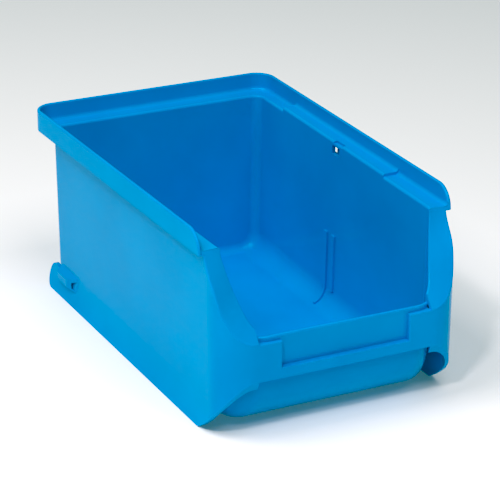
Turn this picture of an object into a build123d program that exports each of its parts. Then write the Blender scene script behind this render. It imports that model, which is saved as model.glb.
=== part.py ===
from build123d import *
import os

# Stackable open-front storage bin, one injection moulding with no moving parts.
# The origin is the middle of the footprint at the resting plane: +X right, +Y to the rear, +Z up.

# Driving dimensions, in millimetres.
LENGTH = 164.0  # front panel to rear rim
WIDTH = 102.0  # across the rim at the rear
HEIGHT = 75.0  # feet to rim top
WALL = 1.4  # inner tub wall
SKIN = 1.3  # outer side skin and skirt

# Rim band around the top of the sides and back, with the stacking ledge inside it.
RIM_WALL = 1.25
RIM_LOW = HEIGHT - 8.2
RIM_FRONT = -67.0
RIM_TAPER = 1.5  # half-width the band loses from the rear to its front end
RIM_CORNER = 8.0
LEDGE_REAR = RIM_LOW + 1.2
LEDGE_FRONT = RIM_LOW + 1.5
LEDGE_COVE = 1.5
LEDGE_EDGE = 1.0
RAIL_TOP = RIM_LOW + 2.5
RAIL_FRONT = -31.0
RAIL_REAR = 52.0

# Tub: the inner walls lean in towards the floor and close in towards the front.
TUB_HALF = 44.2  # inner half-width at the rear, just under the ledge
TUB_TAPER = 0.0212
TUB_DRAFT = 0.020
CHEEK_Y = -65.2  # the walls turn in towards the front panel here
CHEEK_SLANT = 0.49
BACK_Y = 74.1
BACK_DRAFT = 0.010
FLOOR_TOP = 1.7
FRONT_TOP = 38.7
FRONT_Y = -79.1
FRONT_SLANT = 0.06
BELLY_RADIUS = 22.6
SIDE_FILLET = 8.0
BACK_FILLET = 3.5

# Outer skin: it opens away from the tub towards the front, leaving a hollow side.
SKIN_HALF = 45.6
SKIN_TAPER = 0.0136
SKIN_DRAFT = 0.012
HOLLOW_REAR = 20.0  # behind this the skin and the tub wall are one thickness
FRONT_CORNER = 12.0
PANEL_Y = -LENGTH / 2
PANEL_HALF = 33.8
PANEL_LOW = 22.7
PANEL_TOP = 36.8
LABEL_HALF = 25.0
LABEL_LOW = 26.8

# Skirt along the bottom of each side, flaring out to a straight foot edge.
CREASE = 12.5
FOOT_HALF = 47.5
FOOT_FRONT = -61.3
LOBE_RADIUS = 5.0
LOBE_Y = 75.3

# Guide for a cross divider on each inner wall, with a catch window under the ledge.
GUIDE_Y = 8.2
GUIDE_GAP = 3.4
GUIDE_RIB = 2.6
GUIDE_RISE = 0.8
GUIDE_LOW = 9.0
GUIDE_TOP = 32.0
WINDOW_FRONT = 3.5
WINDOW_REAR = 9.4
WINDOW_TOP = 67.6
CATCH_LOW = 63.1

RIM_HALF = WIDTH / 2
REAR_Y = LENGTH / 2
RIM_REAR = REAR_Y - RIM_CORNER  # the band is widest here
FAR = 120.0


def zone(x, y, z):
    """Box between two limits on each axis, used to divide the moulding into its named parts."""
    size = [high - low for low, high in (x, y, z)]
    middle = [(high + low) / 2 for low, high in (x, y, z)]
    return Pos(*middle) * Box(*size)


def mirrored(shape):
    return mirror(shape, about=Plane.YZ)


def side_view(*points):
    """Flat outline given as (y, z) points, standing on the centre plane."""
    return Plane.YZ * Polygon(*points, align=None)


def level_loft(outline, low, high):
    """Block between two level outlines, where outline(z) gives the right-hand (x, y) corners."""
    faces = []
    for z in (low, high):
        right = outline(z)
        left = [(-x, y) for x, y in reversed(right)]
        faces.append(Plane.XY.offset(z) * Polygon(*right, *left, align=None))
    return loft(faces, ruled=True)


def upright(edge):
    return abs((edge @ 1 - edge @ 0).normalized().Z) > 0.9


def tub_outline(gap):
    def outline(z):
        def half(y):
            return TUB_HALF + gap - TUB_TAPER * (BACK_Y - y) - TUB_DRAFT * (RIM_LOW - z)

        turn = half(CHEEK_Y)
        reach = turn - CHEEK_SLANT * (CHEEK_Y + FAR)
        return [(reach, -FAR), (turn, CHEEK_Y), (half(FAR), FAR)]

    return outline


def skin_half(y, z, gap=0.0):
    return SKIN_HALF - gap + SKIN_TAPER * (BACK_Y - y) - SKIN_DRAFT * (RIM_LOW - z)


def skin_outline(gap, front, rear):
    def outline(z):
        return [(skin_half(front, z, gap), front), (skin_half(rear, z, gap), rear)]

    return outline


def tub_run(gap):
    """Front wall, belly curve, floor and back wall as one full-width block."""
    floor = FLOOR_TOP - gap

    def front(z):
        return FRONT_Y - gap - FRONT_SLANT * (z - FRONT_TOP)

    def back(z):
        return BACK_Y + gap - BACK_DRAFT * (RIM_LOW - z)

    top = HEIGHT + 5
    outline = side_view((front(top), top), (front(floor), floor), (back(floor), floor), (back(top), top))
    belly = outline.vertices().group_by(Axis.Z)[0].sort_by(Axis.Y)[0]
    return extrude(fillet(belly, BELLY_RADIUS + gap), FAR, both=True)


def soften_tub(block, gap):
    """Rounds the side edges along the floor and belly, then the boundary of the back wall."""
    sides = [
        edge
        for edge in block.edges()
        if abs(edge.center().X) > 20 and edge.center().Z < 60 and edge.center().Y < 70
        and not (upright(edge) and edge.center().Y > -75)
    ]
    block = fillet(sides, SIDE_FILLET + gap)
    back = block.faces().sort_by(Axis.Y)[-1]
    edges = [edge for edge in back.edges() if edge.center().Z < HEIGHT]
    return fillet(edges, BACK_FILLET + gap)


def tub_solid(gap):
    """The inside of the tub grown outwards by gap."""
    walls = level_loft(tub_outline(gap), -5, HEIGHT + 5)
    turn = [edge for edge in walls.edges() if upright(edge) and abs(edge.center().Y - CHEEK_Y) < 1]
    walls = fillet(turn, 6.0 + gap)
    return soften_tub(walls & tub_run(gap), gap)


def rear_block():
    """Solid behind the hollow sides, where the skin lies against the tub wall."""
    walls = level_loft(skin_outline(0, -FAR, FAR), -5, HEIGHT + 5)
    block = soften_tub(walls & tub_run(WALL), WALL)
    return block & zone((-FAR, FAR), (HOLLOW_REAR, FAR), (-5, RIM_LOW))


def skin_solid(gap):
    """Everything inside the skin from the crease to the rim, with rounded front corners."""
    block = level_loft(skin_outline(gap, PANEL_Y + gap, FAR), CREASE, RIM_LOW)
    corners = [edge for edge in block.edges() if upright(edge) and edge.center().Y < 0]
    return fillet(corners, FRONT_CORNER - gap)


def foot_solid(gap):
    """Everything inside the skirt below the crease, flaring out to the foot edge."""

    def section(y):
        top = skin_half(y, CREASE, gap)
        foot = FOOT_HALF - gap
        middle = top + 0.25 * (foot - top)
        flare = ThreePointArc((top, CREASE), (middle, CREASE / 2), (foot, 0))
        outline = flare + Polyline((foot, 0), (0, 0), (0, CREASE), (top, CREASE))
        return Plane(origin=(0, y, 0), x_dir=(1, 0, 0), z_dir=(0, -1, 0)) * make_face(outline)

    half = loft([section(PANEL_Y + gap), section(FAR)], ruled=True)
    corner = half.edges().filter_by(lambda edge: edge.center().X > 30 and edge.center().Y < -80)
    corner = [edge for edge in corner if abs(edge.center().Z - CREASE / 2) < 2]
    return fillet(corner, FRONT_CORNER - gap)


def front_arch():
    """Side view kept behind the arch that rises from each foot to the panel's lower edge."""
    arch = ThreePointArc((FOOT_FRONT, 0), (-73.3, 9.3), (PANEL_Y, PANEL_LOW))
    rest = Polyline(
        (PANEL_Y, PANEL_LOW), (-FAR, PANEL_LOW), (-FAR, FAR), (FAR, FAR), (FAR, 0), (FOOT_FRONT, 0)
    )
    return extrude(Plane.YZ * make_face(arch + rest), FAR, both=True)


def scoop_solid(back, down):
    """Everything behind the sloping opening on the right, moved back and down along it."""

    def section(x, points):
        edge = Plane(origin=(x, back, -down), x_dir=(0, 1, 0), z_dir=(1, 0, 0))
        curve = Spline(*points)
        below = (points[-1][0], 0)
        above = (points[0][0], FAR)
        rest = Polyline(points[-1], below, (FAR, 0), (FAR, FAR), above, points[0])
        return edge * make_face(curve + rest)

    inner = [(-65.2, 68), (-65.7, 64), (-67.9, 56), (-73.3, 48), (-80.6, 38.6), (-85.5, 33)]
    outer = [(-66.8, 68), (-69.6, 62.6), (-74.7, 55.6), (-77.4, 48), (-81.9, 39), (-87.0, 33)]
    return loft([section(PANEL_HALF, inner), section(50, outer)], ruled=True)


def rim_plan(gap, low, high):
    """Rim outline in plan: straight sides closing towards the front, rounded rear corners."""

    def outline(z):
        def half(y):
            return RIM_HALF - gap - RIM_TAPER * (RIM_REAR - y) / (RIM_REAR - RIM_FRONT)

        return [(half(-FAR), -FAR), (half(REAR_Y), REAR_Y - gap)]

    block = level_loft(outline, low, high)
    corners = [edge for edge in block.edges() if upright(edge) and edge.center().Y > 0]
    return fillet(corners, RIM_CORNER - gap)


def ledge_ring(top, cavity):
    """Ledge round the sides and back: a cove against the band and a rounded inner edge."""
    well = rim_plan(RIM_WALL, top, HEIGHT)
    cove = well.faces().sort_by(Axis.Z)[0].edges()
    well = fillet([edge for edge in cove if edge.center().Y > 5 - FAR], LEDGE_COVE)
    ring = rim_plan(RIM_WALL, RIM_LOW, top + LEDGE_COVE) - well - cavity
    ring = ring & zone((-FAR, FAR), (-75, FAR), (0, FAR))
    level = [edge for edge in ring.edges() if abs(edge.center().Z - top) < 0.01]
    inner = [
        edge for edge in level
        if abs(edge.center().X) < TUB_HALF + 0.6 and -74.9 < edge.center().Y < BACK_Y + 0.5
    ]
    return fillet(inner, LEDGE_EDGE)


def on_crown(edge):
    """Edges along the top of the band and down its rounded front corners."""
    middle = edge.center()
    return middle.Z > HEIGHT - RIM_CORNER + 0.1 and not upright(edge) and abs(middle.Y - RIM_FRONT) > 0.01


def rim_front():
    """Side view of the band, its front upper corner rounded."""
    outline = side_view((RIM_FRONT, 0), (FAR, 0), (FAR, HEIGHT), (RIM_FRONT, HEIGHT))
    corner = outline.vertices().group_by(Axis.Z)[-1].sort_by(Axis.Y)[0]
    return extrude(fillet(corner, RIM_CORNER), FAR, both=True)


def stacking_lug():
    """Hollow-fronted wedge on the rear of the skirt that steadies the bin on the one below."""
    inner = skin_half(LOBE_Y, CREASE) - 1
    outline = [
        (inner, CREASE), (inner + 1, CREASE), (FOOT_HALF, 9.8), (FOOT_HALF, 6.4),
        (inner + 1.6, 5.4), (inner, 5.4),
    ]
    pocket = [(inner + 1.6, 10.9), (FOOT_HALF - 0.8, 9.2), (FOOT_HALF - 0.8, 7.0), (inner + 2.2, 6.6)]
    front = Plane(origin=(0, 49.7, 0), x_dir=(1, 0, 0), z_dir=(0, -1, 0))
    block = extrude(front * Polygon(*outline, align=None), 18.8)
    block = block - extrude(front * Polygon(*pocket, align=None), 13)
    slant = Polygon((40, 49.7), (45, 49.7), (50, 67.7), (50, FAR), (40, FAR), align=None)
    return block & extrude(slant, 20)


def save(name, shape):
    solids = shape.solids()
    export_step(Compound(children=list(solids)) if len(solids) > 1 else solids[0], f"parts/{name}.step")


def save_pair(name, shape):
    save(f"{name}_right", shape)
    save(f"{name}_left", mirrored(shape))


os.makedirs("parts", exist_ok=True)

cavity = tub_solid(0)
tub = tub_solid(WALL) & zone((-FAR, FAR), (-FAR, HOLLOW_REAR + 5), (-5, RIM_LOW))
rear = rear_block()
shell = (rear + tub) - cavity
skin = skin_solid(0)
skin_inside = skin_solid(SKIN)
foot = foot_solid(0)
foot_inside = foot_solid(SKIN)
arch = front_arch()
scoop = scoop_solid(0, 0)
scoop_inside = scoop_solid(1.2, 0.7)

wide = (-FAR, FAR)
right = (0, FAR)

# Skirts and the stacking lugs on top of them.
lobe = extrude(Plane.YZ * Pos(LOBE_Y, LOBE_RADIUS) * Circle(LOBE_RADIUS), FAR)
profile = side_view(
    (-FAR, 0), (LOBE_Y, 0), (LOBE_Y, 8), (LOBE_Y - 3, 9.2), (LOBE_Y - 8, CREASE), (-FAR, CREASE)
)
reach = extrude(profile, FAR) + lobe
skirt = (foot - foot_inside) & reach & arch
shell = shell - skirt - mirrored(skirt)
lug = (stacking_lug() - skirt - shell).solids().sort_by(SortBy.VOLUME)[-1]
save_pair("skirt", skirt)
save_pair("stacking_lug", lug)

# Tub, divided at the crease and at the turns of the wall.
save("floor_pan", shell & zone(wide, wide, (-5, CREASE)))
upper = shell & zone(wide, wide, (CREASE, RIM_LOW))
save("back_wall", upper & zone(wide, (BACK_Y - BACK_FILLET - 1, FAR), wide))
window = zone((35, 45.5), (WINDOW_FRONT, WINDOW_REAR), (64.2, WINDOW_TOP))
side = upper & zone(right, (CHEEK_Y, BACK_Y - BACK_FILLET - 1), wide)
side = (side - window) & (scoop_inside + zone(right, (-50, FAR), wide))
save_pair("side_wall", side)
front = upper & zone(wide, (-FAR, CHEEK_Y), wide)
wall = front & zone((-PANEL_HALF, PANEL_HALF), wide, (0, FRONT_TOP))
lip = [edge for edge in wall.edges() if edge.center().Z > FRONT_TOP - 0.01 and abs(edge.center().X) < 1]
save("front_wall", fillet(lip, 0.6))
cheek = front & zone((PANEL_HALF, FAR), wide, wide) & scoop_inside
save_pair("front_cheek", cheek)

# Skin outside the hollow sides, the flange that closes it along the opening, the label frame.
outside = (skin - skin_inside) & arch
outside = outside & zone((PANEL_HALF, FAR), (-FAR, HOLLOW_REAR), wide) - tub
catch = zone((44.9, FAR), (WINDOW_REAR, WINDOW_REAR + 6), (CATCH_LOW, FAR))
save_pair("side_skin", (outside & zone(right, (CHEEK_Y - 4, FAR), wide) & scoop_inside) - catch)
save_pair("front_corner", outside & zone(right, (-FAR, CHEEK_Y - 4), wide) & scoop_inside)
flange = ((skin & scoop) - scoop_inside - cavity) & zone((PANEL_HALF, FAR), (-FAR, 0), wide)
sloping = flange.faces().sort_by(SortBy.AREA)[-2:].sort_by(Axis.Y)[0]
rims = [
    edge for edge in sloping.edges()
    if edge.center().Z < RIM_LOW - 0.1 and edge.center().X > PANEL_HALF + 0.1
]
save_pair("scoop_flange", fillet(rims, 0.5))
label = zone((-LABEL_HALF, LABEL_HALF), wide, (LABEL_LOW, FAR))
panel = skin & zone((-PANEL_HALF, PANEL_HALF), (-FAR, 0), (PANEL_LOW, PANEL_TOP))
panel = ((panel - tub) - cavity) - label
outer = [
    edge for edge in panel.edges()
    if edge.center().Y < PANEL_Y + 0.01 and abs(edge.center().X) < PANEL_HALF - 0.1
]
panel = fillet(outer, 0.4)
save("label_sill", panel & zone((-LABEL_HALF, LABEL_HALF), wide, wide))
save_pair("label_post", panel & zone((LABEL_HALF, FAR), wide, wide))

# Rim band, the ledge inside it, and the raised rails that the bin above stands between.
band = (rim_plan(0, RIM_LOW, HEIGHT) & rim_front()) - rim_plan(RIM_WALL, RIM_LOW - 1, HEIGHT + 1)
band = fillet([edge for edge in band.edges() if on_crown(edge)], 0.5)
save("rim_band_back", band & zone(wide, (RIM_REAR, FAR), wide))
save_pair("rim_band", band & zone(right, (-FAR, RIM_REAR), wide))
save("ledge_back", ledge_ring(LEDGE_REAR, cavity) & zone(wide, (RAIL_REAR, FAR), wide))
rail = ledge_ring(RAIL_TOP, cavity) & zone(right, (RAIL_FRONT, RAIL_REAR), wide)
notch = zone((35, 44.6), (WINDOW_FRONT - 2, WINDOW_REAR - 1), (WINDOW_TOP + 0.8, FAR))
save_pair("stacking_rail", (rail - window) - notch)
ledge = ledge_ring(LEDGE_FRONT, cavity) & zone(right, (-FAR, RAIL_FRONT), wide) & scoop
save_pair("ledge_front", ledge)

# Divider guide: two upright ribs with a slot between them, and a stop rib down to the floor.
inner_skin = cavity - tub_solid(-GUIDE_RISE)
low = GUIDE_Y - GUIDE_GAP / 2
high = GUIDE_Y + GUIDE_GAP / 2
ribs = zone(right, (low - GUIDE_RIB, low), (GUIDE_LOW, GUIDE_TOP))
ribs = ribs + zone(right, (high, high + GUIDE_RIB), (GUIDE_LOW, GUIDE_TOP))
stop = zone((36.5, FAR), (high, high + 1.2), (0, GUIDE_LOW))
save_pair("divider_guide", inner_skin & (ribs + stop))
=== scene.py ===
import math

import bpy
from mathutils import Matrix, Vector


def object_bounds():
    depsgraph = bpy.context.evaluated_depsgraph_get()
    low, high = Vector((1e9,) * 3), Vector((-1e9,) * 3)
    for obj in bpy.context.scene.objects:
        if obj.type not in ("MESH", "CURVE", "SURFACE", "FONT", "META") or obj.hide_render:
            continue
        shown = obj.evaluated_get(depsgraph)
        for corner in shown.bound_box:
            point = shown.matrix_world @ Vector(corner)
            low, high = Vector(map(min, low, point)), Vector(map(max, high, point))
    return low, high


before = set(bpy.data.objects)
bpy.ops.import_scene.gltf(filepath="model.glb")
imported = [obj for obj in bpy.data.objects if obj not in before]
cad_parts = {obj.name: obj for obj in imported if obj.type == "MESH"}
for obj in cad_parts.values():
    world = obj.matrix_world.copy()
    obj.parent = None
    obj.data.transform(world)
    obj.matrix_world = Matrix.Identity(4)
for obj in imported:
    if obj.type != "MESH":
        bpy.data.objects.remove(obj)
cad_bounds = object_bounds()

WHITE = (1, 1, 1, 1)

# Plastic: the ends of its slow colour drift, the tint and level of its gloss, and its range of roughness.
BLUE_DEEP = (0.0, 0.238, 0.600, 1)
BLUE_LIGHT = (0.0, 0.268, 0.648, 1)
GLOSS_TINT = (0.35, 0.85, 1.0, 1)
GLOSS_LEVEL = 0.24
ROUGH_LOW, ROUGH_HIGH = 0.13, 0.22

# Floor: pale paper with a little glow of its own, which lightens the shadow.
PAPER = (0.85, 0.85, 0.85, 1)
PAPER_GLOW = 0.12
FLOOR_SIZE = 12

# Surroundings: white, dark towards the front and bright towards the back.
GLOW_FRONT, GLOW_BACK = 0.03, 0.65

# Lights: place from the middle of the bin in metres, side of the square in metres, power in watts.
LIGHTS = {
    "top_front_softbox": ((0, -0.55, 0.85), 0.5, 4.8),
    "top_left_softbox": ((-0.5, 0, 0.8), 0.5, 4.9),
    "key": ((-0.45, -0.45, 0.7), 0.08, 2.4),
}

# Camera: place in metres, focal length in millimetres, angles in degrees.
CAMERA_PLACE = (-0.3510, -0.7097, 0.3610)
CAMERA_LENS = 164.62
CAMERA_DOWN = 22.35
CAMERA_ROLL = 0.23
CAMERA_TURN = -26.535

# Red below this level clips to black.
RED_BLACK = 0.10


def add(tree, kind, **settings):
    """New shader node: settings are attributes, or socket values when no attribute has that name."""
    made = tree.nodes.new(kind)
    for name, value in settings.items():
        if hasattr(made, name):
            setattr(made, name, value)
        else:
            made.inputs[name.replace("_", " ")].default_value = value
    return made


def set_sockets(node, **values):
    for name, value in values.items():
        node.inputs[name.replace("_", " ")].default_value = value


def new_material(name):
    """New node material, with its tree and its Principled shader."""
    material = bpy.data.materials.new(name)
    material.use_nodes = True
    tree = material.node_tree
    return material, tree, tree.nodes["Principled BSDF"]


def remap(tree, source, low, high, to_low, to_high):
    made = add(tree, "ShaderNodeMapRange")
    for socket, value in zip(made.inputs[1:5], (low, high, to_low, to_high)):
        socket.default_value = value
    tree.links.new(source, made.inputs[0])
    return made.outputs[0]


def noise(tree, place, scale, detail, stretch=(1, 1, 1)):
    """Noise in object metres, stretched along the axes where stretch is below one."""
    mapping = add(tree, "ShaderNodeMapping", Scale=stretch)
    tree.links.new(place, mapping.inputs["Vector"])
    made = add(tree, "ShaderNodeTexNoise", Scale=scale, Detail=detail)
    tree.links.new(mapping.outputs["Vector"], made.inputs["Vector"])
    return made.outputs["Fac"]


def plastic():
    """Satin blue polypropylene: slow colour drift, faint flow streaks, fine grain, light scuffs."""
    material, tree, surface = new_material("blue_plastic")
    set_sockets(surface, IOR=1.49, Specular_IOR_Level=GLOSS_LEVEL, Specular_Tint=GLOSS_TINT)
    place = add(tree, "ShaderNodeTexCoord").outputs["Object"]

    drift = noise(tree, place, 26, 3)
    tone = add(tree, "ShaderNodeMix", data_type="RGBA")
    tone.inputs["A"].default_value = BLUE_DEEP
    tone.inputs["B"].default_value = BLUE_LIGHT
    tree.links.new(remap(tree, drift, 0.35, 0.65, 0, 1), tone.inputs["Factor"])

    flow = noise(tree, place, 90, 4, (1, 0.12, 1))
    streaked = add(tree, "ShaderNodeHueSaturation")
    tree.links.new(tone.outputs["Result"], streaked.inputs["Color"])
    tree.links.new(remap(tree, flow, 0.3, 0.7, 0.985, 1.015), streaked.inputs["Value"])
    tree.links.new(streaked.outputs["Color"], surface.inputs["Base Color"])

    wear = noise(tree, place, 60, 6)
    tree.links.new(remap(tree, wear, 0.35, 0.72, ROUGH_LOW, ROUGH_HIGH), surface.inputs["Roughness"])

    grain = add(tree, "ShaderNodeBump", Strength=0.10, Distance=0.00006)
    tree.links.new(noise(tree, place, 2600, 2), grain.inputs["Height"])
    waves = add(tree, "ShaderNodeBump", Strength=0.12, Distance=0.0003)
    tree.links.new(noise(tree, place, 55, 1, (1, 0.4, 1)), waves.inputs["Height"])
    tree.links.new(grain.outputs["Normal"], waves.inputs["Normal"])
    tree.links.new(waves.outputs["Normal"], surface.inputs["Normal"])
    return material


def paint_nodes(material):
    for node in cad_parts.values():
        node.data.materials.clear()
        node.data.materials.append(material)


def surroundings():
    """White world whose strength rises from the front to the back."""
    world = bpy.data.worlds.new("studio")
    bpy.context.scene.world = world
    world.use_nodes = True
    tree = world.node_tree
    towards_back = add(tree, "ShaderNodeVectorMath", operation="DOT_PRODUCT")
    towards_back.inputs[1].default_value = (0, 1, 0)
    tree.links.new(add(tree, "ShaderNodeTexCoord").outputs["Generated"], towards_back.inputs[0])
    background = tree.nodes["Background"]
    set_sockets(background, Color=WHITE)
    glow = remap(tree, towards_back.outputs["Value"], 0, 1, GLOW_FRONT, GLOW_BACK)
    tree.links.new(glow, background.inputs["Strength"])


def softbox(name, target, offset, side, power):
    """Square light at offset from target, aimed at target."""
    data = bpy.data.lights.new(name, "AREA")
    data.shape = "SQUARE"
    data.size = side
    data.energy = power
    lamp = bpy.data.objects.new(name, data)
    bpy.context.scene.collection.objects.link(lamp)
    lamp.location = target + Vector(offset)
    lamp.rotation_euler = (target - lamp.location).to_track_quat("-Z", "Y").to_euler()


def floor(height):
    bpy.ops.mesh.primitive_plane_add(size=FLOOR_SIZE, location=(0, 0, height))
    sheet = bpy.context.object
    sheet.name = "floor"
    material, _, surface = new_material("paper")
    set_sockets(surface, Base_Color=PAPER, Roughness=0.9, Specular_IOR_Level=0.1)
    set_sockets(surface, Emission_Color=WHITE, Emission_Strength=PAPER_GLOW)
    sheet.data.materials.append(material)


def studio():
    low, high = cad_bounds
    surroundings()
    for name, (offset, side, power) in LIGHTS.items():
        softbox(name, (low + high) / 2, offset, side, power)
    floor(low.z)


def camera():
    data = bpy.data.cameras.new("camera")
    data.sensor_width = 36
    data.lens = CAMERA_LENS
    data.clip_start, data.clip_end = 0.01, 50
    shown = bpy.data.objects.new("camera", data)
    bpy.context.scene.collection.objects.link(shown)
    shown.location = CAMERA_PLACE
    turn = Matrix.Rotation(math.radians(CAMERA_TURN), 3, "Z")
    tilt = Matrix.Rotation(math.radians(90 - CAMERA_DOWN), 3, "X")
    roll = Matrix.Rotation(math.radians(CAMERA_ROLL), 3, "Z")
    shown.rotation_euler = (turn @ tilt @ roll).to_euler()
    bpy.context.scene.camera = shown


def picture_response():
    """Standard view whose deep reds clip to black, which keeps the blue saturated under white gloss."""
    view = bpy.context.scene.view_settings
    view.view_transform = "Standard"
    view.use_curve_mapping = True
    view.curve_mapping.black_level = (RED_BLACK, 0, 0)
    view.curve_mapping.update()


paint_nodes(plastic())
studio()
camera()
picture_response()
